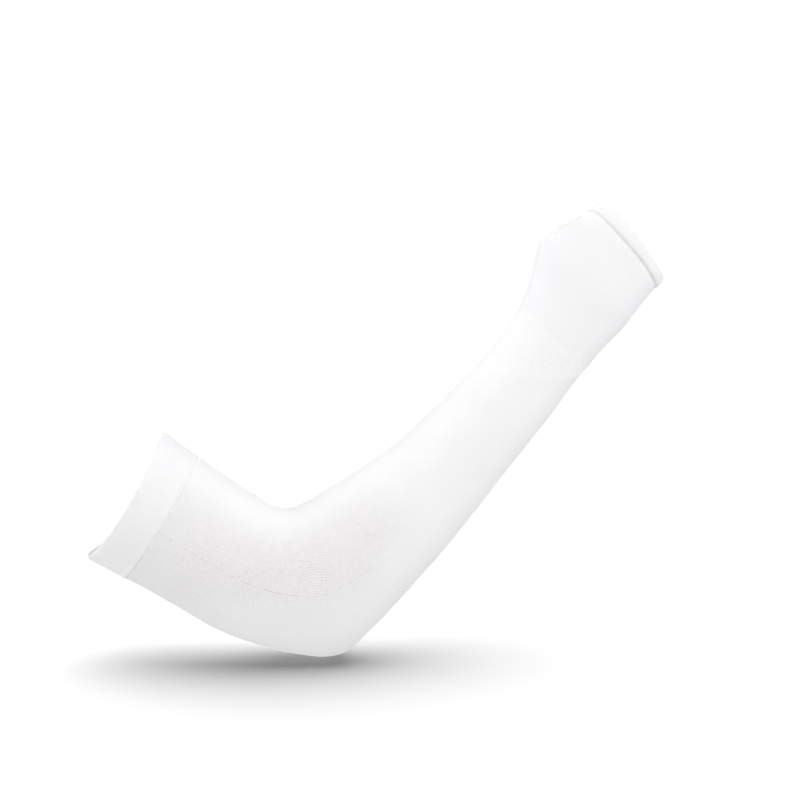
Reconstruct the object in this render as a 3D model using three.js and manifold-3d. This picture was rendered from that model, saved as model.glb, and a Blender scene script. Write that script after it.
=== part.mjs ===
// Cooling arm sleeve for a right arm, in its worn shape with a bent elbow.
// Millimetres, +Z up. The origin is the centre of the upper-arm opening, +X runs
// towards the hand and +Y towards the inner side of the arm.
import * as THREE from 'three';
import { LoftGeometry } from 'three/addons/geometries/LoftGeometry.js';
import { mergeVertices } from 'three/addons/utils/BufferGeometryUtils.js';
import Module from 'manifold-3d';

// Pose of the centre line, from the opening to the knuckles
const UPPER_ARM_FALL = THREE.MathUtils.degToRad(32);
const FOREARM_RISE = THREE.MathUtils.degToRad(46.5);
const UPPER_ARM_RUN = 81;
const ELBOW_BEND_RADIUS = 70;

// Sections of the sleeve's outer face, one row each. at is the distance along the
// centre line and aside its offset in Y. above is the reach towards the crook of
// the elbow and the thumb, below the reach towards the elbow's point and the little
// finger, deep the reach to either side. square is 2 for an ellipse, more for a box.
const SECTIONS = [
  { at: 0, aside: 0, above: 47.5, below: 47, deep: 45, square: 2 },
  { at: 29, aside: 0.3, above: 45.5, below: 45.5, deep: 43, square: 2 },
  { at: 55, aside: 0.6, above: 44.5, below: 45, deep: 42, square: 2 },
  { at: 81, aside: 0.5, above: 44, below: 45, deep: 40.5, square: 2 },
  { at: 104, aside: 0.3, above: 44, below: 46.5, deep: 39, square: 2 },
  { at: 122, aside: 0.5, above: 44, below: 52, deep: 38, square: 2 },
  { at: 139, aside: 1.5, above: 44.5, below: 57.5, deep: 38, square: 2 },
  { at: 153, aside: 3, above: 45, below: 49.5, deep: 38.5, square: 2 },
  { at: 167, aside: 5.5, above: 44.5, below: 44, deep: 39, square: 2 },
  { at: 179, aside: 8, above: 43, below: 43, deep: 38.5, square: 2 },
  { at: 197, aside: 11.5, above: 37.5, below: 43, deep: 37, square: 2 },
  { at: 220, aside: 17, above: 31.5, below: 41.8, deep: 34.5, square: 2 },
  { at: 244, aside: 22, above: 27, below: 40, deep: 32, square: 2 },
  { at: 290, aside: 33, above: 24.4, below: 37.2, deep: 28, square: 2 },
  { at: 320, aside: 41, above: 23.6, below: 35, deep: 24.5, square: 2 },
  { at: 342, aside: 47, above: 25.3, below: 32.7, deep: 22.5, square: 2.1 },
  { at: 358, aside: 52, above: 28.8, below: 32.2, deep: 22, square: 2.2 },
  { at: 374, aside: 58, above: 35.6, below: 32.3, deep: 22, square: 2.3 },
  { at: 392, aside: 64, above: 45.8, below: 33.3, deep: 22, square: 2.3 },
  { at: 410, aside: 71, above: 48.5, below: 32.3, deep: 20.5, square: 2.3 },
  { at: 419, aside: 74, above: 45.5, below: 32, deep: 19.5, square: 2.3 },
  { at: 428, aside: 77, above: 37, below: 31.8, deep: 18.5, square: 2.3 },
  { at: 441, aside: 82, above: 33.5, below: 31, deep: 17.5, square: 2.3 },
];

// Cloth
const KNIT_WALL = 1.2;
const PIECE_GAP = 0.3;
const SIDES = 32;

// Upper band: its section from the rim to the seam ridge. at is the distance from the
// rim, lift the height over the arm's outer face, under the depth of the inner face.
// The rim and the seam dip towards the elbow on both sides of the arm. They dip more on
// the inner side, and most of all low down there, by the droop.
const BAND_DEPTH = 29;
const RIM_DIP = { outer: 4, inner: 7.5 };
const SEAM_DIP = { outer: 0.5, inner: 3.5 };
const DROOP = { outer: 0, inner: 0.8 };
const BAND_PROFILE = [
  { at: 0, lift: -0.2, under: -0.9 },
  { at: 0.7, lift: 0.7, under: -1.4 },
  { at: 9, lift: 0.9, under: -1.4 },
  { at: 18, lift: 0.8, under: -1.4 },
  { at: 25, lift: 0.7, under: -1.4 },
  { at: 26, lift: 1.1, under: -1.4 },
  { at: 28, lift: 1.1, under: -1.4 },
  { at: 28.7, lift: 0.4, under: -1.4 },
];

// Arm tube: rows of its mesh in each stretch. The last rows fan out to meet the slanted
// edge of the wrist rib.
const TUBE_STRETCHES = [
  { from: BAND_DEPTH, to: 81, rows: 4 },
  { from: 81, to: 177, rows: 14 },
  { from: 177, to: 266, rows: 7 },
];
const TUBE_FAN = 266;
const FAN_ROWS = 4;

// Wrist rib
const RIB_COUNT = 104;
const RIB_HEIGHT = 0.5;
const RIB_TWIST = 0.0085; // radians of turn for each millimetre along the arm
const RIB_MIDDLE = 318;
const RIB_LEAN = 29;
const RIB_END = 352.5;
const RIB_ROWS = [
  { share: 0, height: 0, lined: true },
  { share: 0.06, height: 1, lined: false },
  { share: 0.5, height: 1, lined: true },
  { share: 0.94, height: 1, lined: false },
  { share: 1, height: 0, lined: true },
];
const TWIST_STEPS = 12;

// Hand cover, thumb hole and its rolled edge
const HAND_ROWS = 10;
const HOLE_AT = 413;
const HOLE_HALF_LENGTH = 21;
const HOLE_HALF_WIDTH = 12;
const HOLE_SIDES = 18;
const HOLE_CUT_FROM = 12;
const HOLE_CUT_DEPTH = 60;
const THUMB_HEM_WIDTH = 2.2;
const THUMB_HEM_PROUD = 0.6;

// Knuckle hem: its section from the seam to the folded edge. Its width has a waist on the
// two flat sides of the hand and a flare towards the thumb.
const HEM_MIDDLE = 426.1;
const HEM_LEAN = 3.4;
const HEM_WAIST = 0.07;
const HEM_FLARE = { middle: 0.05, sides: 0.3 };
const HEM_PROFILE = [
  { at: 0.3, lift: 0.3, under: -1.3 },
  { at: 1.2, lift: 0.8, under: -1.4 },
  { at: 4.7, lift: 1, under: -1.4 },
  { at: 8.3, lift: 0.7, under: -1.4 },
  { at: 9.2, lift: -0.3, under: -0.9 },
];

const BEND_TURN = UPPER_ARM_FALL + FOREARM_RISE;
const BEND_END = UPPER_ARM_RUN + ELBOW_BEND_RADIUS * BEND_TURN;

// One column of the section table at any distance, as a smooth cubic through its rows
function column(name, at) {
  const last = SECTIONS.length - 1;
  const next = SECTIONS.findIndex((row) => row.at > at);
  const low = next < 0 ? last - 1 : Math.max(next - 1, 0);
  const slope = (i) => {
    const before = SECTIONS[Math.max(i - 1, 0)];
    const after = SECTIONS[Math.min(i + 1, last)];
    return (after[name] - before[name]) / (after.at - before.at);
  };
  const from = SECTIONS[low];
  const to = SECTIONS[low + 1];
  const span = to.at - from.at;
  const t = (at - from.at) / span;
  const rest = 1 - t;
  const ends = from[name] * (1 + 2 * t) * rest * rest + to[name] * (3 - 2 * t) * t * t;
  return ends + span * t * rest * (slope(low) * rest - slope(low + 1) * t);
}

// Centre line: straight upper arm, round elbow bend, straight forearm and hand
function centre(at) {
  const y = column('aside', at);
  const bendStart = new THREE.Vector3(Math.cos(UPPER_ARM_FALL), 0, -Math.sin(UPPER_ARM_FALL));
  if (at <= UPPER_ARM_RUN) return bendStart.multiplyScalar(at).setY(y);
  const turned = Math.min(at - UPPER_ARM_RUN, BEND_END - UPPER_ARM_RUN) / ELBOW_BEND_RADIUS;
  const heading = turned - UPPER_ARM_FALL;
  const point = bendStart.multiplyScalar(UPPER_ARM_RUN);
  point.x += ELBOW_BEND_RADIUS * (Math.sin(UPPER_ARM_FALL) + Math.sin(heading));
  point.z += ELBOW_BEND_RADIUS * (Math.cos(UPPER_ARM_FALL) - Math.cos(heading));
  const beyond = Math.max(at - BEND_END, 0);
  return point.add(new THREE.Vector3(Math.cos(heading), 0, Math.sin(heading)).multiplyScalar(beyond)).setY(y);
}

// Axes of the section at a distance: along the arm, up towards the crook, and out
// towards the outer side of the arm
function axes(at) {
  const step = 0.5;
  const along = centre(at + step).sub(centre(at - step)).normalize();
  const up = new THREE.Vector3(-along.z, 0, along.x).normalize();
  const out = new THREE.Vector3().crossVectors(along, up);
  return { along, up, out };
}

// A point of the sleeve at a distance along it, an angle round it (0 is up, a quarter
// turn is out) and a height over its outer face
function skin(at, angle, lift) {
  const { up, out } = axes(at);
  const power = 2 / column('square', at);
  const bulge = (value) => Math.sign(value) * Math.abs(value) ** power;
  const cos = Math.cos(angle);
  const reach = column(cos >= 0 ? 'above' : 'below', at) + lift;
  const deep = column('deep', at) + lift;
  return centre(at)
    .addScaledVector(up, reach * bulge(cos))
    .addScaledVector(out, deep * bulge(Math.sin(angle)));
}

// A tube wall with open ends. Each station gives, at an angle, its distance, how far the
// ring is turned there, and the heights of its outer and inner face. The loft runs along
// the outer face, back along the inner one and closes on its first ring. A station
// without an inner height is left out on the way back.
function wall(stations, sides = SIDES) {
  const ring = (station, face) =>
    Array.from({ length: sides }, (_, i) => {
      const angle = (i / sides) * 2 * Math.PI;
      const at = station.at(angle);
      const turn = station.turn ? station.turn(at) : 0;
      return skin(at, angle + turn, station[face](angle));
    });
  const outer = stations.map((station) => ring(station, 'outer'));
  const lined = stations.filter((station) => station.inner);
  const inner = lined.map((station) => ring(station, 'inner')).reverse();
  return new THREE.BufferGeometry().copy(new LoftGeometry([...outer, ...inner, outer[0]]));
}

const shares = (count) => Array.from({ length: count + 1 }, (_, i) => i / count);
const between = (from, to, share) => from + (to - from) * share;
const plain = (at) => ({ at, outer: () => 0, inner: () => -KNIT_WALL });
const ribEdge = (angle) => RIB_MIDDLE - RIB_LEAN * Math.cos(angle);
const hemSeam = (angle) => HEM_MIDDLE + HEM_LEAN * Math.cos(angle);
const hemEdge = (at, angle) => {
  const flat = Math.sin(angle) ** 2;
  const flare = (HEM_FLARE.middle + HEM_FLARE.sides * flat) * Math.cos(angle);
  return hemSeam(angle) + at * (1 - HEM_WAIST * flat + flare);
};
const bandEdge = (at, angle) => {
  const side = Math.sin(angle) > 0 ? 'outer' : 'inner';
  const dip = between(RIM_DIP[side], SEAM_DIP[side], at / BAND_DEPTH);
  const droop = 1 + DROOP[side] * Math.max(-Math.cos(angle), 0);
  return at + dip * droop * Math.sin(angle) ** 2;
};

function upperBand() {
  return wall(BAND_PROFILE.map((row) => ({
    at: (angle) => bandEdge(row.at, angle),
    outer: () => row.lift,
    inner: () => row.under,
  })));
}

function armTube() {
  const start = plain((angle) => bandEdge(BAND_DEPTH, angle));
  const stretches = TUBE_STRETCHES.flatMap(({ from, to, rows }) =>
    shares(rows).slice(1).map((share) => plain(() => between(from, to, share))));
  const fan = shares(FAN_ROWS).slice(1).map((share) =>
    plain((angle) => between(TUBE_FAN, ribEdge(angle) - PIECE_GAP, share)));
  return wall([start, ...stretches, ...fan]);
}

// Ribs wind a little round the wrist as the forearm turns. A rib that starts at an angle
// on the hand side meets the slanted edge where the turned angle and the edge agree.
function wristRib() {
  const turn = (at) => RIB_TWIST * (at - RIB_END);
  const ribStart = (angle) => {
    let at = ribEdge(angle);
    for (let step = 0; step < TWIST_STEPS; step++) at = ribEdge(angle + turn(at));
    return at;
  };
  const wave = (angle) => (1 + Math.cos(RIB_COUNT * angle)) / 2;
  const stations = RIB_ROWS.map((row) => ({
    at: (angle) => between(ribStart(angle), RIB_END, row.share),
    turn,
    outer: (angle) => RIB_HEIGHT * row.height * wave(angle),
    inner: row.lined ? () => -KNIT_WALL : null,
  }));
  return wall(stations, 2 * RIB_COUNT);
}

// Wall of the hand part, with its two faces moved out and in by a margin
function handWall(margin) {
  const stations = shares(HAND_ROWS).map((share) => ({
    at: (angle) => between(RIB_END + PIECE_GAP, hemSeam(angle) - PIECE_GAP, share),
    outer: () => margin,
    inner: () => -KNIT_WALL - margin,
  }));
  return wall(stations);
}

// Oval bar that stands on the thumb side, smaller than the hole by a margin
function thumbBar(margin) {
  const oval = new THREE.Shape();
  oval.absellipse(0, 0, HOLE_HALF_LENGTH - margin, HOLE_HALF_WIDTH - margin, 0, 2 * Math.PI);
  const bar = new THREE.ExtrudeGeometry(oval, {
    depth: HOLE_CUT_DEPTH,
    bevelEnabled: false,
    curveSegments: HOLE_SIDES,
  });
  const { along, up, out } = axes(HOLE_AT);
  const place = new THREE.Matrix4().makeBasis(along, out.negate(), up);
  place.setPosition(centre(HOLE_AT).addScaledVector(up, HOLE_CUT_FROM));
  return bar.applyMatrix4(place);
}

function knuckleHem() {
  return wall(HEM_PROFILE.map((row) => ({
    at: (angle) => hemEdge(row.at, angle),
    outer: () => row.lift,
    inner: () => row.under,
  })));
}

const wasm = await Module();
wasm.setup();

function toSolid(geometry) {
  geometry.deleteAttribute('normal');
  geometry.deleteAttribute('uv');
  const merged = mergeVertices(geometry);
  return new wasm.Manifold(new wasm.Mesh({
    numProp: 3,
    vertProperties: new Float32Array(merged.attributes.position.array),
    triVerts: new Uint32Array(merged.index.array),
  }));
}

function toGeometry(solid) {
  const { vertProperties, triVerts } = solid.getMesh();
  const geometry = new THREE.BufferGeometry();
  geometry.setAttribute('position', new THREE.BufferAttribute(vertProperties, 3));
  geometry.setIndex(new THREE.BufferAttribute(triVerts, 1));
  geometry.computeVertexNormals();
  return geometry;
}

function handCover() {
  const hole = toSolid(thumbBar(-PIECE_GAP));
  return toGeometry(toSolid(handWall(0)).subtract(hole));
}

function thumbHem() {
  const ring = toSolid(thumbBar(0)).subtract(toSolid(thumbBar(THUMB_HEM_WIDTH)));
  return toGeometry(toSolid(handWall(THUMB_HEM_PROUD)).intersect(ring));
}

const sleeve = new THREE.Group();

function add(name, geometry, color, roughness) {
  const material = new THREE.MeshStandardMaterial({ color, roughness, metalness: 0 });
  const mesh = new THREE.Mesh(geometry, material);
  mesh.name = name;
  sleeve.add(mesh);
}

add('upper_band', upperBand(), 0xf4f4f6, 0.8);
add('arm_tube', armTube(), 0xf0eeee, 0.85);
add('wrist_rib', wristRib(), 0xf4f4f5, 0.85);
add('hand_cover', handCover(), 0xf3f3f5, 0.85);
add('thumb_hem', thumbHem(), 0xf6f6f7, 0.8);
add('knuckle_hem', knuckleHem(), 0xf6f6f7, 0.8);

export default sleeve;
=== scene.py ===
# %% [markdown]
# # A cooling arm sleeve, dressed in cloth
# The sleeve is a seamless tube of fine white knit that is worn from the upper arm to
# the knuckles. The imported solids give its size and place. This lesson lays real-looking
# cloth over the same form: a welt, an open mesh over the elbow, ribs at the wrist, a
# thumb hole and a folded hem.

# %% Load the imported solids
import math
import bpy
import numpy as np
from mathutils import Matrix, Vector


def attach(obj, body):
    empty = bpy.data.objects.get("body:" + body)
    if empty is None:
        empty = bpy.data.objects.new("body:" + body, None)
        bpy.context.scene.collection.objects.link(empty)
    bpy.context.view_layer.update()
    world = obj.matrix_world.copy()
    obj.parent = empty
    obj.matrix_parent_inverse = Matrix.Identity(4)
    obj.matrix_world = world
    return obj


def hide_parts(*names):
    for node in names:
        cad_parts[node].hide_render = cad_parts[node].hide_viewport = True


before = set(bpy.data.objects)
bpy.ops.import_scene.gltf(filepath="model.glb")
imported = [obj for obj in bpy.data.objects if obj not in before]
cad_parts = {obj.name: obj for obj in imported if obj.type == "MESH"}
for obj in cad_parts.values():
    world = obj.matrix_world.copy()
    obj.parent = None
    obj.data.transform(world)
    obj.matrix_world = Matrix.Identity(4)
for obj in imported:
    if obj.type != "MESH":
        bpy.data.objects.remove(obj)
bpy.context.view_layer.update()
MM = 0.001
print("solids:", sorted(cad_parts))

# %% [markdown]
# ## The form under the cloth
# A knitted tube has no shape of its own: it takes the shape it is worn in. The form is a
# centre line that falls along the upper arm, bends at the elbow and rises along the
# forearm, with a section across it every few centimetres. It could be sculpted, but a
# table of sections is easy to read and to change, and a cubic through its rows gives a
# smooth skin. All sizes are in millimetres.

# %% Sections of the arm
COLUMNS = ("at", "aside", "above", "below", "deep", "square")
SECTIONS = np.array([
    (0, 0, 47.5, 47, 45, 2),
    (29, 0.3, 45.5, 45.5, 43, 2),
    (55, 0.6, 44.5, 45, 42, 2),
    (81, 0.5, 44, 45, 40.5, 2),
    (104, 0.3, 44, 46.5, 39, 2),
    (122, 0.5, 44, 52, 38, 2),
    (139, 1.5, 44.5, 57.5, 38, 2),
    (153, 3, 45, 49.5, 38.5, 2),
    (167, 5.5, 44.5, 44, 39, 2),
    (179, 8, 43, 43, 38.5, 2),
    (197, 11.5, 37.5, 43, 37, 2),
    (220, 17, 31.5, 41.8, 34.5, 2),
    (244, 22, 27, 40, 32, 2),
    (290, 33, 24.4, 37.2, 28, 2),
    (320, 41, 23.6, 35, 24.5, 2),
    (342, 47, 25.3, 32.7, 22.5, 2.1),
    (358, 52, 28.8, 32.2, 22, 2.2),
    (374, 58, 35.6, 32.3, 22, 2.3),
    (392, 64, 45.8, 33.3, 22, 2.3),
    (410, 71, 48.5, 32.3, 20.5, 2.3),
    (419, 74, 45.5, 32, 19.5, 2.3),
    (428, 77, 37, 31.8, 18.5, 2.3),
    (441, 82, 33.5, 31, 17.5, 2.3),
])


def column(name, at):
    """One column of the table at any distance along the arm."""
    rows = SECTIONS[:, 0]
    values = SECTIONS[:, COLUMNS.index(name)]
    last = len(rows) - 1
    before = np.maximum(np.arange(last + 1) - 1, 0)
    after = np.minimum(np.arange(last + 1) + 1, last)
    slope = (values[after] - values[before]) / (rows[after] - rows[before])
    low = np.clip(np.searchsorted(rows, at, side="right") - 1, 0, last - 1)
    span = rows[low + 1] - rows[low]
    t = (at - rows[low]) / span
    rest = 1 - t
    ends = values[low] * (1 + 2 * t) * rest ** 2 + values[low + 1] * (3 - 2 * t) * t ** 2
    return ends + span * t * rest * (slope[low] * rest - slope[low + 1] * t)


print("arm length:", SECTIONS[-1, 0], "mm")

# %% Centre line and skin
UPPER_ARM_FALL = math.radians(32)
FOREARM_RISE = math.radians(46.5)
UPPER_ARM_RUN = 81.0
ELBOW_RADIUS = 70.0
BEND_LENGTH = ELBOW_RADIUS * (UPPER_ARM_FALL + FOREARM_RISE)


def centre(at):
    """Points of the centre line."""
    straight = np.minimum(at, UPPER_ARM_RUN)
    heading = np.clip(at - UPPER_ARM_RUN, 0, BEND_LENGTH) / ELBOW_RADIUS - UPPER_ARM_FALL
    beyond = np.maximum(at - UPPER_ARM_RUN - BEND_LENGTH, 0)
    x = math.cos(UPPER_ARM_FALL) * straight + np.cos(heading) * beyond
    z = -math.sin(UPPER_ARM_FALL) * straight + np.sin(heading) * beyond
    x += ELBOW_RADIUS * (math.sin(UPPER_ARM_FALL) + np.sin(heading))
    z += ELBOW_RADIUS * (math.cos(UPPER_ARM_FALL) - np.cos(heading))
    return np.stack([x, column("aside", at), z], -1)


def unit(vectors):
    return vectors / np.linalg.norm(vectors, axis=-1, keepdims=True)


def axes(at):
    """Directions along the arm, up to the crook and out to the arm's outer side."""
    along = unit(centre(at + 0.5) - centre(at - 0.5))
    up = unit(np.stack([-along[..., 2], 0 * along[..., 0], along[..., 0]], -1))
    return along, up, np.cross(along, up)


def skin(at, angle, lift):
    """Points of the sleeve. Angle 0 is up, a quarter turn is out."""
    at, angle, lift = np.broadcast_arrays(np.asarray(at, float), angle, lift)
    _, up, out = axes(at)
    power = 2 / column("square", at)
    cos, sin = np.cos(angle), np.sin(angle)
    reach = np.where(cos >= 0, column("above", at), column("below", at)) + lift
    deep = column("deep", at) + lift
    high = reach * np.sign(cos) * np.abs(cos) ** power
    wide = deep * np.sign(sin) * np.abs(sin) ** power
    return centre(at) + up * high[..., None] + out * wide[..., None]


print("opening:", np.round(skin(0.0, np.radians([0, 90, 180]), 0.0), 1).tolist())

# %% [markdown]
# ## Even cloth
# Knitted loops lie equally far apart round the arm, whatever the section's shape, and
# the forearm turns the loops with it, so the lines of the knit wind round it from the
# elbow to the wrist. A table of how far round each share of the cloth lies lets every
# piece start as a flat, even blank whose columns are real lines of the knit.

# %% Shares of the way round
STATIONS = np.arange(0.0, 446.0)
ROUND = np.linspace(0, 2 * np.pi, 721)
EVEN = np.linspace(0, 1, 721)


def even_angles(at):
    """Angles round one section that are equal lengths of cloth apart."""
    steps = np.linalg.norm(np.diff(skin(at, ROUND, 0.0), axis=0), axis=1)
    run = np.concatenate([[0], np.cumsum(steps)])
    return np.interp(EVEN * run[-1], run, ROUND), run[-1]


measured = [even_angles(at) for at in STATIONS]
ANGLES = np.array([angles for angles, _ in measured])
GIRTHS = np.array([girth for _, girth in measured])


def angle_of(at, share):
    """Angle at a share of the way round, at any distance along the arm."""
    whole = np.floor(share)
    place = (share - whole) * (len(EVEN) - 1)
    left = np.minimum(place.astype(int), len(EVEN) - 2)
    low = np.clip(at.astype(int), 0, len(STATIONS) - 2)
    side, step = place - left, at - low
    first = ANGLES[low, left] * (1 - side) + ANGLES[low, left + 1] * side
    second = ANGLES[low + 1, left] * (1 - side) + ANGLES[low + 1, left + 1] * side
    return 2 * np.pi * whole + first * (1 - step) + second * step


WALE_TWIST = 0.0085
TWIST_FROM = 140.0
TWIST_EASE = 15.0


def wale_turn(at):
    """Share of a turn that the forearm has wound the knit by."""
    wound = TWIST_EASE * np.log1p(np.exp((at - TWIST_FROM) / TWIST_EASE))
    return WALE_TWIST * wound / (2 * np.pi)


print("girth at rim, wrist and knuckles:", np.round(GIRTHS[[0, 340, 435]], 1).tolist())

# %% [markdown]
# ## Working a blank
# Every piece of cloth begins as Blender's grid, which is a flat blank with its own UV
# map. Its points are laid on the form, and the edges that meet are merged. A Solidify
# modifier gives a single layer its thickness, and a fold is closed without one. Modifiers
# are applied, so that the finished piece is a plain mesh at the origin.


# %% Tools for a blank
def pick(piece):
    """Selects one object and nothing else."""
    bpy.ops.object.select_all(action="DESELECT")
    piece.select_set(True)
    bpy.context.view_layer.objects.active = piece


def blank(name, columns, rows):
    """A flat grid, with each point's share across and along."""
    bpy.ops.object.select_all(action="DESELECT")
    bpy.ops.mesh.primitive_grid_add(x_subdivisions=columns, y_subdivisions=rows, size=1)
    piece = bpy.context.object
    piece.name = name
    piece.data.name = name
    flat = np.empty(3 * len(piece.data.vertices))
    piece.data.vertices.foreach_get("co", flat)
    flat = flat.reshape(-1, 3) + 0.5
    return piece, flat[:, 0], flat[:, 1]


def settle(piece, points):
    piece.data.vertices.foreach_set("co", (points * MM).ravel())
    piece.data.update()


def note(piece, name, values):
    """Keeps one number for each point, for the material to read."""
    layer = piece.data.attributes.new(name, "FLOAT", "POINT")
    layer.data.foreach_set("value", np.asarray(values, float))


def weld(piece):
    """Merges the points where the blank's edges meet."""
    pick(piece)
    bpy.ops.object.mode_set(mode="EDIT")
    bpy.ops.mesh.select_all(action="SELECT")
    bpy.ops.mesh.remove_doubles(threshold=0.01 * MM)
    bpy.ops.object.mode_set(mode="OBJECT")


def close_up(piece):
    """Fills open ends and turns every face outward."""
    pick(piece)
    bpy.ops.object.mode_set(mode="EDIT")
    bpy.ops.mesh.select_all(action="SELECT")
    bpy.ops.mesh.fill_holes(sides=0)
    bpy.ops.mesh.select_all(action="SELECT")
    bpy.ops.mesh.normals_make_consistent(inside=False)
    bpy.ops.object.mode_set(mode="OBJECT")


def thicken(piece, wall):
    pick(piece)
    modifier = piece.modifiers.new("wall", "SOLIDIFY")
    modifier.thickness = wall * MM
    modifier.offset = -1
    modifier.use_quality_normals = True
    bpy.ops.object.modifier_apply(modifier=modifier.name)


def soften(piece, degrees=40):
    pick(piece)
    bpy.ops.object.shade_smooth_by_angle(angle=math.radians(degrees))
    print(piece.name, len(piece.data.polygons), "faces")


def between(low, high, share):
    return low + (high - low) * share


def ease(low, high, value):
    """A smooth step from 0 at low to 1 at high."""
    t = np.clip((value - low) / (high - low), 0, 1)
    return t * t * (3 - 2 * t)


# %% [markdown]
# ## Small unevenness
# Worn cloth is never a perfect surface. Long low swells run along it, a few soft creases
# lie in the crook, and faint ones cross the hand cover. Each crease is a row of a table:
# where its middle is, how long it runs, which way, and how wide and deep it is. Each swell
# is a row too: its height, how fast it turns along and round the sleeve, and its start.

# %% Swells and creases
CREASES = (
    {"at": 121, "turn": 2, "run": 30, "slant": 86, "wide": 2.4, "deep": 0.2},
    {"at": 131, "turn": -4, "run": 36, "slant": 92, "wide": 2.8, "deep": 0.26},
    {"at": 142, "turn": 5, "run": 28, "slant": 97, "wide": 2.4, "deep": 0.18},
    {"at": 389, "turn": 90, "run": 17, "slant": 8, "wide": 1.0, "deep": 0.28},
    {"at": 393, "turn": 99, "run": 13, "slant": 12, "wide": 0.9, "deep": 0.2},
    {"at": 402, "turn": 78, "run": 14, "slant": -20, "wide": 1.1, "deep": 0.2},
)


SWELLS = (
    {"high": 0.16, "along": 0.061, "round": 2, "start": 0},
    {"high": 0.11, "along": 0.093, "round": -3, "start": 1},
    {"high": 0.07, "along": 0.17, "round": 5, "start": 2},
)
LIP_HEIGHT = 0.35
LIP_SPREAD = 2.6


def swell(at, angle):
    """Height of the low swells and creases over the plain form."""
    height = 0
    for wave in SWELLS:
        turn = wave["along"] * at + wave["round"] * angle + wave["start"]
        height = height + wave["high"] * np.sin(turn)
    girth = np.interp(at, STATIONS, GIRTHS)
    for crease in CREASES:
        around = (angle - math.radians(crease["turn"]) + np.pi) % (2 * np.pi) - np.pi
        across = around * girth / (2 * np.pi)
        slant = math.radians(crease["slant"])
        forward = (at - crease["at"]) * math.cos(slant) + across * math.sin(slant)
        sideways = across * math.cos(slant) - (at - crease["at"]) * math.sin(slant)
        fade = np.exp(-(2 * forward / crease["run"]) ** 4)
        valley = np.exp(-(sideways / crease["wide"]) ** 2)
        lips = LIP_HEIGHT * np.exp(-(sideways / (LIP_SPREAD * crease["wide"])) ** 2)
        height = height + crease["deep"] * fade * (lips - valley)
    return height


print("swells:", len(SWELLS), "creases:", len(CREASES))

# %% [markdown]
# ## Edges between the pieces
# The welt's rim and seam dip on both sides of the arm, more on the inner side, the ribbed
# zone starts on a slant across the forearm, and the hem's seam leans across the knuckles.
# Each edge is one function of the angle, so that neighbours share it exactly.

# %% Edges
BAND_DEPTH = 29.0
RIM_DIP = {"outer": 4.0, "inner": 7.5}
SEAM_DIP = {"outer": 0.5, "inner": 3.5}
INNER_DROOP = 2.0
RIB_MIDDLE = 318.0
RIB_LEAN = 29.0
RIB_END = 352.5
HEM_MIDDLE = 426.1
HEM_LEAN = 3.4
SETTLING_ROUNDS = 14


def band_edge(at, angle):
    """Distance along the arm of a line round the welt, which dips at the sides."""
    outer = np.sin(angle) > 0
    rim = np.where(outer, RIM_DIP["outer"], RIM_DIP["inner"])
    seam = np.where(outer, SEAM_DIP["outer"], SEAM_DIP["inner"])
    droop = 1 + np.where(outer, 0, INNER_DROOP) * np.maximum(-np.cos(angle), 0)
    return at + between(rim, seam, at / BAND_DEPTH) * droop * np.sin(angle) ** 2


def seam_edge(angle):
    return band_edge(BAND_DEPTH, angle)


def rib_edge(angle):
    return RIB_MIDDLE - RIB_LEAN * np.cos(angle)


def hand_edge(angle):
    return RIB_END + 0 * angle


def hem_edge(angle):
    return HEM_MIDDLE + HEM_LEAN * np.cos(angle)


def lay(share, run, first, last):
    """Distance and angle of each point of a blank between two edges."""
    angle = 2 * np.pi * share
    for _ in range(SETTLING_ROUNDS):
        at = between(first(angle), last(angle), run)
        angle = angle_of(at, share + wale_turn(at))
    return at, angle


print("ribbed zone on the crook side:", RIB_END - rib_edge(0.0), "mm")

# %% [markdown]
# ## Arm tube
# The long plain part is knitted as one tube. Over the upper arm and the elbow its knit
# is stretched open, so the material needs to know how open each place is, and how far
# each loop lies from the point of the elbow, above which the loops stand in arcs. The
# tube's first millimetre is tucked into the welt, and it stands a little higher just past
# the seam.

# %% Arm tube
KNIT_WALL = 1.2
OPEN_AT_WELT = 0.7
OPENS = (30, 100)
CLOSES = (160, 235)
PAST_CROOK = np.radians((24, 66))
TO_UNDERSIDE = np.radians((82, 125))
UNDERSIDE_FROM = (55, 105)
UNDERSIDE_CLOSED = 0.86


def openness(at, angle):
    """How far the knit is stretched open: nothing in the crook, most beside the elbow."""
    around = np.abs((angle + np.pi) % (2 * np.pi) - np.pi)
    length = between(OPEN_AT_WELT, 1, ease(*OPENS, at)) * (1 - ease(*CLOSES, at))
    under = ease(*TO_UNDERSIDE, around) * ease(*UNDERSIDE_FROM, at)
    return length * ease(*PAST_CROOK, around) * (1 - UNDERSIDE_CLOSED * under)


TUCK = 1.2
TUCK_END = 0.2
SEAM_RISE = 0.75
SEAM_FADE = 9
SWELLS_FROM = (29, 40)
COLUMNS_ROUND = 156


def tube_start(angle):
    return seam_edge(angle) - TUCK


arm_tube, share, run = blank("arm_tube_knit", columns=COLUMNS_ROUND, rows=190)
at, angle = lay(share, run, tube_start, rib_edge)
beyond_seam = at - seam_edge(angle)
rise = SEAM_RISE * (1 - ease(0, SEAM_FADE, beyond_seam))
rise = rise - SEAM_RISE * (1 - ease(-TUCK, TUCK_END, beyond_seam))
settle(arm_tube, skin(at, angle, rise + swell(at, angle) * ease(*SWELLS_FROM, at)))
how_open = openness(at, angle)
note(arm_tube, "open", how_open)
print("knit at its most open:", round(float(how_open.max()), 2))

# %% Arcs over the elbow
ELBOW_POINT = (128.0, -79.5)
ARC_PITCH = 1.75
ARC_SPREAD = 0.8
ARC_REACH = (28, 62)

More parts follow.
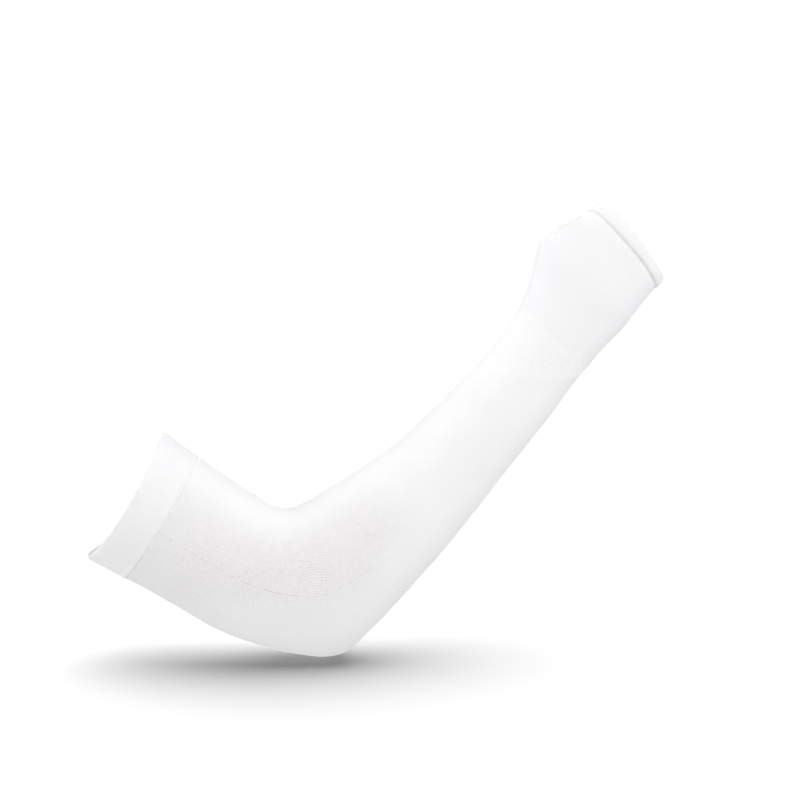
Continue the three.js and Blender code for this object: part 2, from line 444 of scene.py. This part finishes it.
points = skin(at, angle, 0.0)
aside, above = points[:, 0] - ELBOW_POINT[0], points[:, 2] - ELBOW_POINT[1]
reach = np.hypot(aside, above)
arcs = np.exp(-(np.arctan2(aside, above) / ARC_SPREAD) ** 2)
arcs = arcs * (1 - ease(*ARC_REACH, reach))
note(arm_tube, "ring", reach / ARC_PITCH)
note(arm_tube, "arcs", arcs)
weld(arm_tube)
thicken(arm_tube, KNIT_WALL)
soften(arm_tube)

# %% [markdown]
# ## Wrist rib
# At the wrist the knitting changes to ribs, which grip. They are real ridges here, eight
# points to a rib, because their fine shadows show from every side. They rise from nothing
# at the slanted edge, are flatter where the cloth is pulled over the thumb's side, and
# stop short at the hand cover. The material paints shade into each groove by a number
# kept on each point, which falls off faster than the groove itself, so that only a thin
# line in it is painted dark. A second number, how far the ribs have risen, paints the
# ribbed zone lighter to balance that painted shade.

# %% Wrist rib
RIB_COUNT = 104
RIB_HEIGHT = 0.22
POINTS_TO_A_RIB = 8
RIB_RISE = 3
RIB_STOP = 1.5
THUMB_SIDE_DEPTH = 0.4
GROOVE_SHARPNESS = 3
FIRM_EDGE = 60

wrist_rib, share, run = blank("wrist_rib_knit", columns=POINTS_TO_A_RIB * RIB_COUNT, rows=26)
at, angle = lay(share, run, rib_edge, hand_edge)
depth = np.minimum(ease(0, RIB_RISE, at - rib_edge(angle)), ease(0, RIB_STOP, RIB_END - at))
depth = depth * between(THUMB_SIDE_DEPTH, 1, (1 - np.cos(angle)) / 2)
hollow = (1 - np.cos(2 * np.pi * RIB_COUNT * share)) / 2
settle(wrist_rib, skin(at, angle, swell(at, angle) - RIB_HEIGHT * depth * hollow))
# painted shade: a thin line in each groove, where less light reaches the cloth
note(wrist_rib, "groove", depth * hollow ** GROOVE_SHARPNESS)
# how far the ribs have risen; the material paints the ribbed zone lighter by it, to balance
# the painted groove shade
note(wrist_rib, "ribbed", depth)
weld(wrist_rib)
thicken(wrist_rib, KNIT_WALL)
soften(wrist_rib, FIRM_EDGE)

# %% [markdown]
# ## Hand cover
# The plain knit past the ribs begins as a whole tube, which sinks a little where the hem
# is sewn on. The thumb hole is then cut with a Boolean modifier and an oval bar, as
# scissors would cut it. The bar is a cylinder whose points are moved to make it an oval
# that stands on the thumb's side. Rays from above find the cloth along the hole's edge
# before the cut, because the rolled edge lies there.

# %% Hand cover
HEM_SINK = 0.45
SINK_RANGE = (-2.6, -0.2)

hand_cover, share, run = blank("hand_cover_knit", columns=COLUMNS_ROUND, rows=70)
at, angle = lay(share, run, hand_edge, hem_edge)
sunk = HEM_SINK * ease(*SINK_RANGE, at - hem_edge(angle))
settle(hand_cover, skin(at, angle, swell(at, angle) - sunk))
weld(hand_cover)
thicken(hand_cover, KNIT_WALL)
print("hand cover, uncut:", len(hand_cover.data.polygons), "faces")

# %% Bar for the thumb hole
HOLE_AT = 413.0
HOLE_HALF_LENGTH = 21.0
HOLE_HALF_WIDTH = 12.0
HOLE_BAR = (12.0, 72.0)

hole_along, hole_up, hole_out = axes(np.array(HOLE_AT))
hole_foot = centre(np.array(HOLE_AT))


def over_hole(along, out, up):
    """A point by its distances along, out and up from the hole's foot."""
    return (hole_foot + np.multiply.outer(along, hole_along)
            + np.multiply.outer(out, hole_out) + np.multiply.outer(up, hole_up))


bpy.ops.object.select_all(action="DESELECT")
bpy.ops.mesh.primitive_cylinder_add(vertices=128, radius=1, depth=1)
cutter = bpy.context.object
bar = np.array([vertex.co for vertex in cutter.data.vertices])
height = between(HOLE_BAR[0], HOLE_BAR[1], bar[:, 2] + 0.5)
oval = over_hole(bar[:, 0] * HOLE_HALF_LENGTH, bar[:, 1] * HOLE_HALF_WIDTH, height)
settle(cutter, oval)
close_up(cutter)
print("oval bar:", len(cutter.data.polygons), "faces")


# %% Cloth along the hole's edge
def hand_height(along, out):
    """Distance up to the hand cover's outer face, by a ray from above."""
    origin = Vector(over_hole(along, out, HOLE_BAR[1]) * MM)
    hit, place, _, _ = hand_cover.ray_cast(origin, Vector(-hole_up))
    return HOLE_BAR[1] - (origin - place).length / MM if hit else np.nan


HEM_TURNS = 220
HEM_INSET = 0.9
hem_angles = np.linspace(0, 2 * np.pi, HEM_TURNS, endpoint=False)
hem_along = (HOLE_HALF_LENGTH - HEM_INSET) * np.cos(hem_angles)
hem_out = (HOLE_HALF_WIDTH - HEM_INSET) * np.sin(hem_angles)
hem_up = np.array([hand_height(*point) for point in zip(hem_along, hem_out)])
print("points on the cloth:", int(np.isfinite(hem_up).sum()), "of", HEM_TURNS)

# %% Cut the thumb hole
pick(hand_cover)
cut = hand_cover.modifiers.new("thumb_hole", "BOOLEAN")
cut.operation = "DIFFERENCE"
cut.solver = "EXACT"
cut.object = cutter
bpy.ops.object.modifier_apply(modifier=cut.name)
bpy.data.objects.remove(cutter)
soften(hand_cover)

# %% [markdown]
# ## Thumb hem
# The cut edge is rolled over and sewn down, which makes a narrow bead round the hole. It
# is a strip laid along the edge: for each point of the edge, an oval section stands on
# the cloth. Its two ends run in under the knuckle hem.

# %% Thumb hem
BEAD_HALF_WIDTH = 1.5
BEAD_HALF_HEIGHT = 0.95
BEAD_SINK = 0.55
SMOOTHING_ROUNDS = 6
LOOK_AHEAD = 0.6

edge = over_hole(hem_along, hem_out, hem_up)[np.isfinite(hem_up)]
gaps = np.linalg.norm(np.diff(edge, axis=0, append=edge[:1]), axis=1)
first = int(np.argmax(gaps)) + 1
edge = np.roll(edge, -first, axis=0)
for _ in range(SMOOTHING_ROUNDS):
    edge[1:-1] = (edge[:-2] + 2 * edge[1:-1] + edge[2:]) / 4
steps = np.linalg.norm(np.diff(edge, axis=0), axis=1)
run_along = np.concatenate([[0], np.cumsum(steps)])


def edge_point(distance):
    return np.stack([np.interp(distance, run_along, edge[:, k]) for k in range(3)], -1)


thumb_hem, share, run = blank("thumb_hem_knit", columns=14, rows=200)
distance = run * run_along[-1]
place = edge_point(distance)
ahead = unit(edge_point(distance + LOOK_AHEAD) - edge_point(distance - LOOK_AHEAD))
outward = unit(place - hole_foot)
side = unit(np.cross(ahead, outward))
outward = np.cross(side, ahead)
turn = 2 * np.pi * share
offset = side * (BEAD_HALF_WIDTH * np.cos(turn))[:, None]
offset = offset + outward * (BEAD_HALF_HEIGHT * np.sin(turn) - BEAD_SINK)[:, None]
settle(thumb_hem, place + offset)
weld(thumb_hem)
close_up(thumb_hem)
soften(thumb_hem, FIRM_EDGE)
print("thumb hem length:", round(run_along[-1], 1), "mm")

# %% [markdown]
# ## Welt and hem
# Both ends of the sleeve are folded double. A folded edge is easiest as a closed outline
# of the fold that goes once round the arm: up the outer face, over the round fold and
# back along the inner face. The welt's outline has a raised ridge where its edge is sewn
# to the tube. Rows of points lie closer at the outline's corners, so that folds stay round.

# %% Outlines of the folds
BAND_OUTLINE = (
    {"at": 28.95, "lift": -0.9}, {"at": 29.3, "lift": 0.15}, {"at": 28.9, "lift": 0.48},
    {"at": 28.2, "lift": 0.8}, {"at": 27.4, "lift": 1.02}, {"at": 26.4, "lift": 1.05},
    {"at": 25.4, "lift": 0.86}, {"at": 24.6, "lift": 0.75}, {"at": 23.0, "lift": 0.78},
    {"at": 18, "lift": 0.9}, {"at": 9, "lift": 1.0}, {"at": 2.4, "lift": 0.95},
    {"at": 1.0, "lift": 0.75}, {"at": 0.3, "lift": 0.3}, {"at": 0, "lift": -0.25},
    {"at": 0.3, "lift": -0.8}, {"at": 1.0, "lift": -1.2}, {"at": 2.4, "lift": -1.4},
    {"at": 15, "lift": -1.45}, {"at": 28.6, "lift": -1.4},
)
HEM_OUTLINE = (
    {"at": 9.2, "lift": -0.3}, {"at": 8.95, "lift": 0.25}, {"at": 8.3, "lift": 0.7},
    {"at": 6.8, "lift": 0.98}, {"at": 4.7, "lift": 1.12}, {"at": 3.0, "lift": 1.08},
    {"at": 1.9, "lift": 0.8}, {"at": 1.2, "lift": 0.3}, {"at": 0.7, "lift": -0.35},
    {"at": 0.2, "lift": -0.8}, {"at": -0.3, "lift": -0.9}, {"at": -0.35, "lift": -1.1},
    {"at": 0.15, "lift": -1.35}, {"at": 1, "lift": -1.5}, {"at": 4.7, "lift": -1.5},
    {"at": 8.0, "lift": -1.3}, {"at": 8.9, "lift": -0.9},
)
CORNER_SHARE = 0.6


def outline_point(outline, run):
    """Distance and lift at a share of the way round a closed outline."""
    rows = np.array([(row["at"], row["lift"]) for row in outline])
    rows = np.concatenate([rows, rows[:1]])
    steps = np.hypot(*np.diff(rows, axis=0).T) + CORNER_SHARE
    ends = np.concatenate([[0], np.cumsum(steps)]) / steps.sum()
    return np.interp(run, ends, rows[:, 0]), np.interp(run, ends, rows[:, 1])


print("points of the folds:", len(BAND_OUTLINE), "and", len(HEM_OUTLINE))

# %% Folded edges
FOLD_COLUMNS = 200
FOLD_SWELL = 0.6
HEM_WAIST = 0.07
HEM_FLARE = {"middle": 0.05, "sides": 0.3}


def folded(name, outline, rows, place):
    """A closed fold: its outline swept once round the arm."""
    piece, share, run = blank(name, FOLD_COLUMNS, rows)
    at, lift = outline_point(outline, run)
    start = np.clip(place(at, 2 * np.pi * share), 0, STATIONS[-2])
    angle = angle_of(start, share)
    at = place(at, angle)
    settle(piece, skin(at, angle, lift + swell(at, angle) * FOLD_SWELL))
    weld(piece)
    close_up(piece)
    soften(piece, FIRM_EDGE)
    return piece


def hem_place(at, angle):
    """Distance along the arm: the hem is deeper on the thumb's side."""
    side = np.sin(angle) ** 2
    flare = (HEM_FLARE["middle"] + HEM_FLARE["sides"] * side) * np.cos(angle)
    return hem_edge(angle) + at * (1 - HEM_WAIST * side + flare)


upper_band = folded("upper_band_knit", BAND_OUTLINE, rows=72, place=band_edge)
knuckle_hem = folded("knuckle_hem_knit", HEM_OUTLINE, rows=48, place=hem_place)

# %% [markdown]
# ## Stitches
# Short threads hold the folds down. One stitch is modelled from a six-sided cylinder
# whose ends are extruded and drawn in. Every other one is a copy of it that is stretched
# and turned to lie across or along its seam, and the stitches of a seam are joined.

# %% One stitch
BODY_LENGTH = 0.7
TIP_LENGTH = 0.15
TIP_SIZE = (0.5, 0.5, 1)
FACES_END = 0.9

bpy.ops.object.select_all(action="DESELECT")
bpy.ops.mesh.primitive_cylinder_add(vertices=6, radius=0.5, depth=BODY_LENGTH)
stitch = bpy.context.object
bpy.ops.object.mode_set(mode="EDIT")
bpy.ops.mesh.select_mode(type="FACE")
for end in (-1, 1):
    bpy.ops.mesh.select_all(action="DESELECT")
    bpy.ops.object.mode_set(mode="OBJECT")
    for face in stitch.data.polygons:
        face.select = face.normal.z * end > FACES_END
    bpy.ops.object.mode_set(mode="EDIT")
    tip = (0, 0, TIP_LENGTH * end)
    bpy.ops.mesh.extrude_region_move(TRANSFORM_OT_translate={"value": tip})
    bpy.ops.transform.resize(value=TIP_SIZE)
bpy.ops.object.mode_set(mode="OBJECT")
print("one stitch:", len(stitch.data.polygons), "faces")


# %% Rows of stitches
def lie(start, end, outward, thick):
    """Where a stitch of unit size goes: from one point to another, flat on the cloth."""
    along = Vector(end - start)
    side = Vector(outward).cross(along).normalized()
    turn = Matrix((side, along.normalized().cross(side), along.normalized())).transposed()
    size = Vector((thick, thick, along.length)) * MM
    return Matrix.LocRotScale(Vector(start + end) * MM / 2, turn, size)


def sew(name, starts, ends, thick):
    """Copies of the stitch, one for each pair of points, joined as one piece."""
    bpy.ops.object.select_all(action="DESELECT")
    line = centre(STATIONS)
    for start, end in zip(starts, ends):
        thread = stitch.copy()
        thread.data = stitch.data.copy()
        outward = start - line[np.argmin(np.linalg.norm(line - start, axis=1))]
        thread.matrix_world = lie(start, end, outward, thick)
        bpy.context.scene.collection.objects.link(thread)
        thread.select_set(True)
    bpy.context.view_layer.objects.active = thread
    bpy.context.view_layer.update()
    bpy.ops.object.join()
    bpy.ops.object.transform_apply(location=True, rotation=True, scale=True)
    thread.name = name
    thread.data.name = name
    soften(thread, FIRM_EDGE)
    return thread


# %% Seam of the welt
RIDGE_STITCHES = 176
RIDGE_LEAN = 0.012
RIDGE_START = {"at": 28.0, "lift": 0.9}
RIDGE_END = {"at": 30.8, "lift": 0.42}
RIDGE_THICK = 0.42

share = np.arange(RIDGE_STITCHES) / RIDGE_STITCHES
angle = angle_of(np.full(RIDGE_STITCHES, BAND_DEPTH), share)
before, after = angle - RIDGE_LEAN, angle + RIDGE_LEAN
ridge_starts = skin(band_edge(RIDGE_START["at"], before), before, RIDGE_START["lift"])
ridge_ends = skin(band_edge(RIDGE_END["at"], after), after, RIDGE_END["lift"])
ridge_thread = sew("ridge_thread", ridge_starts, ridge_ends, RIDGE_THICK)

# %% Seam of the hem
HEM_STITCHES = 120
THUMB_GAP = math.radians(9)
STITCH_SHARE = 0.8
HEM_STITCH = {"at": 0.1, "lift": -0.55}
HEM_THICK = 0.34

share = (np.arange(HEM_STITCHES) + 0.5) / HEM_STITCHES
angle = angle_of(np.full(HEM_STITCHES, HEM_MIDDLE), share)
angle = angle[np.abs((angle + np.pi) % (2 * np.pi) - np.pi) > THUMB_GAP]
half_stitch = STITCH_SHARE * np.pi / HEM_STITCHES
before, after = angle - half_stitch, angle + half_stitch
hem_starts = skin(hem_place(HEM_STITCH["at"], before), before, HEM_STITCH["lift"])
hem_ends = skin(hem_place(HEM_STITCH["at"], after), after, HEM_STITCH["lift"])
hem_thread = sew("hem_thread", hem_starts, hem_ends, HEM_THICK)
bpy.data.objects.remove(stitch)

# %% [markdown]
# ## White knits
# All the cloth is white, yet no two pieces look alike: the welt is smooth and a little
# blue, the mesh over the elbow shows its loops, and the ribs have shade painted into their
# grooves.
# Each finish is one node tree on the Principled shader. Loops come from waves along the
# blank's own UV map, so they follow the cloth.

# %% Tools for a finish
SHEEN_ROUGHNESS = 0.5
CLOTH_SPECULAR = 0.25


class Finish:
    """A material whose nodes are made by short calls."""

    def __init__(self, name, roughness, sheen):
        self.material = bpy.data.materials.new(name)
        self.material.use_nodes = True
        self.nodes = self.material.node_tree.nodes
        self.links = self.material.node_tree.links
        self.shader = self.nodes["Principled BSDF"]
        self.shader.inputs["Roughness"].default_value = roughness
        self.shader.inputs["Sheen Weight"].default_value = sheen
        self.shader.inputs["Sheen Roughness"].default_value = SHEEN_ROUGHNESS
        self.shader.inputs["Specular IOR Level"].default_value = CLOTH_SPECULAR

    def feed(self, socket, value):
        """Links another node's output to a socket, or sets a plain value on it."""
        if isinstance(value, bpy.types.NodeSocket):
            self.links.new(value, socket)
        else:
            socket.default_value = value

    def sum(self, operation, *values):
        node = self.nodes.new("ShaderNodeMath")
        node.operation = operation
        for socket, value in zip(node.inputs, values):
            self.feed(socket, value)
        return node.outputs[0]

    def wave(self, value, count):
        """A wave from 0 to 1 with that many crests for each unit."""
        turn = self.sum("MULTIPLY", value, 2 * math.pi * count)
        return self.sum("MULTIPLY_ADD", self.sum("COSINE", turn), 0.5, 0.5)

    def peak(self, value, middle, half_width):
        """1 at one value, falling to 0 within the half width."""
        away = self.sum("ABSOLUTE", self.sum("SUBTRACT", value, middle))
        height = self.sum("MULTIPLY_ADD", away, -1 / half_width, 1.0)
        return self.sum("MAXIMUM", height, 0.0)

    def uv(self):
        """Shares across and along the blank, from its UV map."""
        node = self.nodes.new("ShaderNodeTexCoord")
        split = self.nodes.new("ShaderNodeSeparateXYZ")
        self.links.new(node.outputs["UV"], split.inputs[0])
        return split.outputs[0], split.outputs[1]

    def kept(self, name):
        """A number that was kept on each point of the mesh."""
        node = self.nodes.new("ShaderNodeAttribute")
        node.attribute_name = name
        return node.outputs["Fac"]

    def noise(self, scale, detail=2.0):
        place = self.nodes.new("ShaderNodeTexCoord")
        node = self.nodes.new("ShaderNodeTexNoise")
        node.inputs["Scale"].default_value = scale
        node.inputs["Detail"].default_value = detail
        self.links.new(place.outputs["Object"], node.inputs["Vector"])
        return node.outputs["Fac"]

    def blend(self, share, first, second):
        """A colour between two others."""
        node = self.nodes.new("ShaderNodeMix")
        node.data_type = "RGBA"
        self.feed(node.inputs[0], share)
        self.feed(node.inputs[6], first)
        self.feed(node.inputs[7], second)
        return node.outputs[2]

    def mix(self, share, first, second):
        """A number between two others."""
        change = self.sum("SUBTRACT", second, first)
        return self.sum("MULTIPLY_ADD", change, share, first)

    def paint(self, colour):
        self.feed(self.shader.inputs["Base Color"], colour)

    def emboss(self, height, strength, depth):
        node = self.nodes.new("ShaderNodeBump")
        node.inputs["Strength"].default_value = strength
        node.inputs["Distance"].default_value = depth * MM
        self.links.new(height, node.inputs["Height"])
        self.links.new(node.outputs["Normal"], self.shader.inputs["Normal"])


def dress(piece, finish):
    piece.data.materials.clear()
    piece.data.materials.append(finish.material)


def white(red, green, blue):
    return (red, green, blue, 1.0)


# %% [markdown]
# ## Plain knit
# The hand cover, the hem, the rolled edge and the welt are a close, smooth knit. Fine
# loops give a slight grain, and broad soft noise keeps the white from being flat. One
# function makes all four, which differ in their white, their loops and their relief.

# %% Plain knit
MOTTLE_SCALE = 55
MOTTLE_SHARE = 0.5
GRAIN_SHARE = -0.15
FUZZ_SCALE = 900
PLAIN_DEPTH = 0.12


def plain_knit(name, colour, shade, loops, courses, relief):
    finish = Finish(name, roughness=0.82, sheen=0.15)
    across, along = finish.uv()
    loop = finish.wave(across, loops)
    course = finish.wave(along, courses)
    grain = finish.sum("MULTIPLY", loop, course)
    mottle = finish.sum("MULTIPLY", finish.noise(MOTTLE_SCALE, detail=3.0), MOTTLE_SHARE)
    shaded = finish.sum("MULTIPLY_ADD", grain, GRAIN_SHARE, mottle)
    finish.paint(finish.blend(shaded, colour, shade))
    finish.emboss(finish.sum("ADD", grain, finish.noise(FUZZ_SCALE)), relief, PLAIN_DEPTH)
    return finish


hand_finish = plain_knit("plain_knit", white(0.84, 0.84, 0.845), white(0.80, 0.80, 0.81),
                         loops=208, courses=90, relief=0.45)
welt_finish = plain_knit("welt_knit", white(0.85, 0.85, 0.855), white(0.81, 0.81, 0.825),
                         loops=312, courses=60, relief=0.8)
hem_finish = plain_knit("hem_knit", white(0.85, 0.85, 0.85), white(0.82, 0.82, 0.825),
                        loops=208, courses=22, relief=0.45)
edge_finish = plain_knit("edge_knit", white(0.86, 0.86, 0.86), white(0.83, 0.83, 0.835),
                         loops=6, courses=84, relief=0.3)
dress(hand_cover, hand_finish)
dress(upper_band, welt_finish)
dress(knuckle_hem, hem_finish)
dress(thumb_hem, edge_finish)
print("nodes in a plain knit:", len(hand_finish.nodes))

# %% [markdown]
# ## Mesh knit
# Over the elbow the loops are pulled open, and the small dark gaps between them show as
# rows of dots. The rings round the elbow's point cross the lines that run along the arm.
# On the outer side one line of loops is pulled further open than the rest, with a fainter
# one beside it. Rows and rings are waves that noise moves a little, so that no two loops
# are alike, and the openness kept on each point decides how much of them shows.

# %% Mesh knit
MESH_LOOPS = 180
MESH_COURSES = 192
STRAY = 0.9
STRAY_SCALE = 240
ARC_STRAY = 0.6

mesh_finish = Finish("mesh_knit", roughness=0.85, sheen=0.15)
across, along = mesh_finish.uv()
stray = mesh_finish.sum("MULTIPLY_ADD", mesh_finish.noise(STRAY_SCALE), STRAY, -STRAY / 2)
strayed_across = mesh_finish.sum("MULTIPLY_ADD", stray, 1 / MESH_LOOPS, across)
strayed_along = mesh_finish.sum("MULTIPLY_ADD", stray, 1 / MESH_COURSES, along)
strayed_ring = mesh_finish.sum("MULTIPLY_ADD", stray, ARC_STRAY, mesh_finish.kept("ring"))
loop = mesh_finish.wave(strayed_across, MESH_LOOPS)
course = mesh_finish.wave(strayed_along, MESH_COURSES)
arc = mesh_finish.wave(strayed_ring, 1)
row = mesh_finish.mix(mesh_finish.kept("arcs"), course, arc)
print("mesh:", MESH_LOOPS, "loops round by", MESH_COURSES, "courses")

# %% Gaps between the loops
LOOP_SHARE = 0.6
PATCH = {"scale": 40, "swing": 1.0, "least": 0.3}
UNEVEN = {"scale": 420, "swing": 1.6, "least": -0.05}

opened = mesh_finish.kept("open")
loop_gap = mesh_finish.sum("MULTIPLY_ADD", loop, LOOP_SHARE, 1 - LOOP_SHARE)
gap = mesh_finish.sum("MULTIPLY", row, loop_gap)
shown = mesh_finish.sum("MULTIPLY", gap, opened)
for change in (PATCH, UNEVEN):
    speckle = mesh_finish.noise(change["scale"])
    amount = mesh_finish.sum("MULTIPLY_ADD", speckle, change["swing"], change["least"])
    shown = mesh_finish.sum("MULTIPLY", shown, amount)
print("nodes so far:", len(mesh_finish.nodes))

# %% Pulled lines
PULLED_LINES = (
    {"across": 0.2485, "half_width": 0.0019, "strength": 2.0},
    {"across": 0.262, "half_width": 0.0016, "strength": 0.8},
)
BREAK = {"scale": 260, "swing": 3.0, "least": -1.0}
DASH_SHARE = 0.75

pulled = 0.0
for pull in PULLED_LINES:
    line = mesh_finish.peak(across, pull["across"], pull["half_width"])
    pulled = mesh_finish.sum("MULTIPLY_ADD", line, pull["strength"], pulled)
speckle = mesh_finish.noise(BREAK["scale"])
broken = mesh_finish.sum("MULTIPLY_ADD", speckle, BREAK["swing"], BREAK["least"])
dashes = mesh_finish.sum("MULTIPLY_ADD", course, DASH_SHARE, 1 - DASH_SHARE)
broken = mesh_finish.sum("MULTIPLY", broken, dashes)
pulled = mesh_finish.sum("MULTIPLY", pulled, mesh_finish.sum("MULTIPLY", broken, opened))
shown = mesh_finish.sum("MAXIMUM", shown, pulled)
print("pulled lines:", len(PULLED_LINES))

# %% Colour of the mesh
CLOTH_SCALE = 45
CLOTH_WHITES = (white(0.855, 0.855, 0.855), white(0.82, 0.82, 0.825))
OPEN_WHITE = white(0.81, 0.795, 0.80)
GAP_GREY = white(0.58, 0.55, 0.56)
GAP_SINK = -2.0
FINE_RISE = 0.3
MESH_RELIEF = 0.25
MESH_DEPTH = 0.1

cloth = mesh_finish.blend(mesh_finish.noise(CLOTH_SCALE, detail=3.0), *CLOTH_WHITES)
cloth = mesh_finish.blend(opened, cloth, OPEN_WHITE)
mesh_finish.paint(mesh_finish.blend(shown, cloth, GAP_GREY))
fine = mesh_finish.sum("MULTIPLY", mesh_finish.wave(across, 2 * MESH_LOOPS), FINE_RISE)
height = mesh_finish.sum("MULTIPLY_ADD", shown, GAP_SINK, fine)
mesh_finish.emboss(height, MESH_RELIEF, MESH_DEPTH)
dress(arm_tube, mesh_finish)
print("nodes in the mesh knit:", len(mesh_finish.nodes))

# %% [markdown]
# ## Rib knit and thread
# The ribbed zone is painted a little whiter than the cloth beside it, and a thin line in
# each groove is painted darker, as painted shade where less light reaches the cloth; the
# two keep the zone's mean tone at the cloth's. The thread is smoother than the knit and
# catches a little more light.

# %% Rib knit and thread
# painted light and shade: a lift for the ribbed zone, and a grey for the line of painted
# shade in each groove
RIB_PAINTED_LIFT = white(0.925, 0.925, 0.925)
GROOVE_PAINTED_SHADE = white(0.65, 0.65, 0.66)
THREAD_WHITES = (white(0.95, 0.95, 0.95), white(0.88, 0.88, 0.89))
THREAD_SCALE = 300

rib_finish = Finish("rib_knit", roughness=0.82, sheen=0.15)
cloth = rib_finish.blend(rib_finish.noise(CLOTH_SCALE, detail=3.0), *CLOTH_WHITES)
# the ribbed zone is painted lighter, and the line in each groove is painted with shade
cloth = rib_finish.blend(rib_finish.kept("ribbed"), cloth, RIB_PAINTED_LIFT)
rib_finish.paint(rib_finish.blend(rib_finish.kept("groove"), cloth, GROOVE_PAINTED_SHADE))
dress(wrist_rib, rib_finish)

thread_finish = Finish("thread", roughness=0.6, sheen=0.05)
thread_finish.paint(thread_finish.blend(thread_finish.noise(THREAD_SCALE), *THREAD_WHITES))
THREADS = (ridge_thread, hem_thread)
for piece in THREADS:
    dress(piece, thread_finish)
print("pieces in thread:", [piece.name for piece in THREADS])

# %% [markdown]
# ## Riding on the frame
# Each piece of cloth takes the place of one imported solid and moves with it, and the two
# threads ride along. The mean girth of the form under the arm tube is worked out, in metres.

# %% Places, finishes and cloth sizes
PLACES = (
    (upper_band, "upper_band", "welt_knit"),
    (arm_tube, "arm_tube", "mesh_knit"),
    (wrist_rib, "wrist_rib", "rib_knit"),
    (hand_cover, "hand_cover", "plain_knit"),
    (thumb_hem, "thumb_hem", "hem_knit"),
    (knuckle_hem, "knuckle_hem", "hem_knit"),
)
for piece, node, slot in PLACES:
    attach(piece, "root")
    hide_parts(node)
for piece, slot in ((ridge_thread, "welt_knit"), (hem_thread, "hem_knit")):
    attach(piece, "root")


def girth(first, last):
    """Mean girth of the form between two distances, in metres."""
    return float(GIRTHS[first:last].mean() * MM)


print("girth of the arm tube's sheet:", round(girth(30, 318), 3), "m")

# %% [markdown]
# ## Floor, light and camera
# The sleeve stands with the point of its elbow on a plain pale floor. Soft lamps on every
# side light it as a white tent would, two of them from below, as a white table throws
# light up at the cloth. Light linking lets each lamp shine on the sleeve or on the floor
# only, so the floor stays white with one soft shadow and leaves the cloth's tones alone.
# The camera looks down by ten degrees from the arm's outer side.

# %% Floor
FLOOR_SIZE = 60
FLOOR_PAINT = white(0.45, 0.45, 0.45)

lowest = min(vertex.co.z for vertex in arm_tube.data.vertices)
bpy.ops.object.select_all(action="DESELECT")
bpy.ops.mesh.primitive_plane_add(size=FLOOR_SIZE, location=(0, 0, lowest))
floor = bpy.context.object
floor.name = "floor"
floor_finish = Finish("floor_white", roughness=0.95, sheen=0.0)
floor_finish.paint(FLOOR_PAINT)
dress(floor, floor_finish)
floor.visible_diffuse = False
print("floor at", round(lowest, 4), "m")

# %% Lamps
FLOOR_LAMP = "wash"
NEUTRAL = (1.0, 1.0, 1.0)
COOL = (0.98, 0.96, 1.0)
LAMPS = (
    {"name": "front", "strength": 0.9, "spread": 70, "height": 45, "from": 0},
    {"name": "front_right", "strength": 1.6, "spread": 70, "height": 30, "from": 45},
    {"name": "left", "strength": 1.4, "spread": 70, "height": 10, "from": -85, "tint": COOL},
    {"name": "right", "strength": 1.0, "spread": 70, "height": 10, "from": 85, "tint": COOL},
    {"name": "table_left", "strength": 0.9, "spread": 70, "height": -35, "from": -60},
    {"name": "table", "strength": 1.3, "spread": 80, "height": -80, "from": 0},
    {"name": "top_left", "strength": 1.2, "spread": 80, "height": 50, "from": -120},
    {"name": "back", "strength": 0.9, "spread": 60, "height": -6, "from": 175},
    {"name": "wash", "strength": 8.6, "spread": 98, "height": 60, "from": 185},
)
print("lamps:", [row["name"] for row in LAMPS])

# %% Light
lit_floor = bpy.data.collections.new("lit_floor")
lit_floor.objects.link(floor)
lit_sleeve = bpy.data.collections.new("lit_sleeve")
for piece, _, _ in PLACES:
    lit_sleeve.objects.link(piece)
for piece in THREADS:
    lit_sleeve.objects.link(piece)
for row in LAMPS:
    lamp = bpy.data.lights.new(row["name"], "SUN")
    lamp.energy = row["strength"]
    lamp.angle = math.radians(row["spread"])
    lamp.color = row.get("tint", NEUTRAL)
    lamp_object = bpy.data.objects.new(row["name"], lamp)
    aim = math.radians(90 - row["height"])
    lamp_object.rotation_euler = (aim, 0, math.radians(row["from"]))
    receivers = lit_floor if row["name"] == FLOOR_LAMP else lit_sleeve
    lamp_object.light_linking.receiver_collection = receivers
    lamp_object.light_linking.blocker_collection = lit_sleeve
    bpy.context.scene.collection.objects.link(lamp_object)
    print("lamp:", row["name"], round(lamp.energy, 2), "W to the square metre")

# %% Room
ROOM_TINT = white(0.97, 0.98, 1)
ROOM_STRENGTH = 0.15

world = bpy.data.worlds.new("white_room")
world.use_nodes = True
background = world.node_tree.nodes["Background"]
background.inputs["Color"].default_value = ROOM_TINT
background.inputs["Strength"].default_value = ROOM_STRENGTH
bpy.context.scene.world = world
bpy.context.scene.view_settings.view_transform = "Standard"
print("room light:", ROOM_STRENGTH)

# %% Camera
TARGET = Vector((0.1791, 0.0107, 0.0607))
DISTANCE = 1.7
LOOK_DOWN = math.radians(10)
MM_TO_A_PIXEL = 0.65
PICTURE = 800
SENSOR = 36.0

camera = bpy.data.cameras.new("camera")
camera.sensor_width = SENSOR
camera.lens = SENSOR * DISTANCE / (MM_TO_A_PIXEL * PICTURE * MM)
camera_object = bpy.data.objects.new("camera", camera)
offset = Vector((0, -math.cos(LOOK_DOWN), math.sin(LOOK_DOWN))) * DISTANCE
camera_object.location = TARGET + offset
camera_object.rotation_euler = (-offset).to_track_quat("-Z", "Y").to_euler()
bpy.context.scene.collection.objects.link(camera_object)
bpy.context.scene.camera = camera_object
print("lens:", round(camera.lens, 1), "mm")
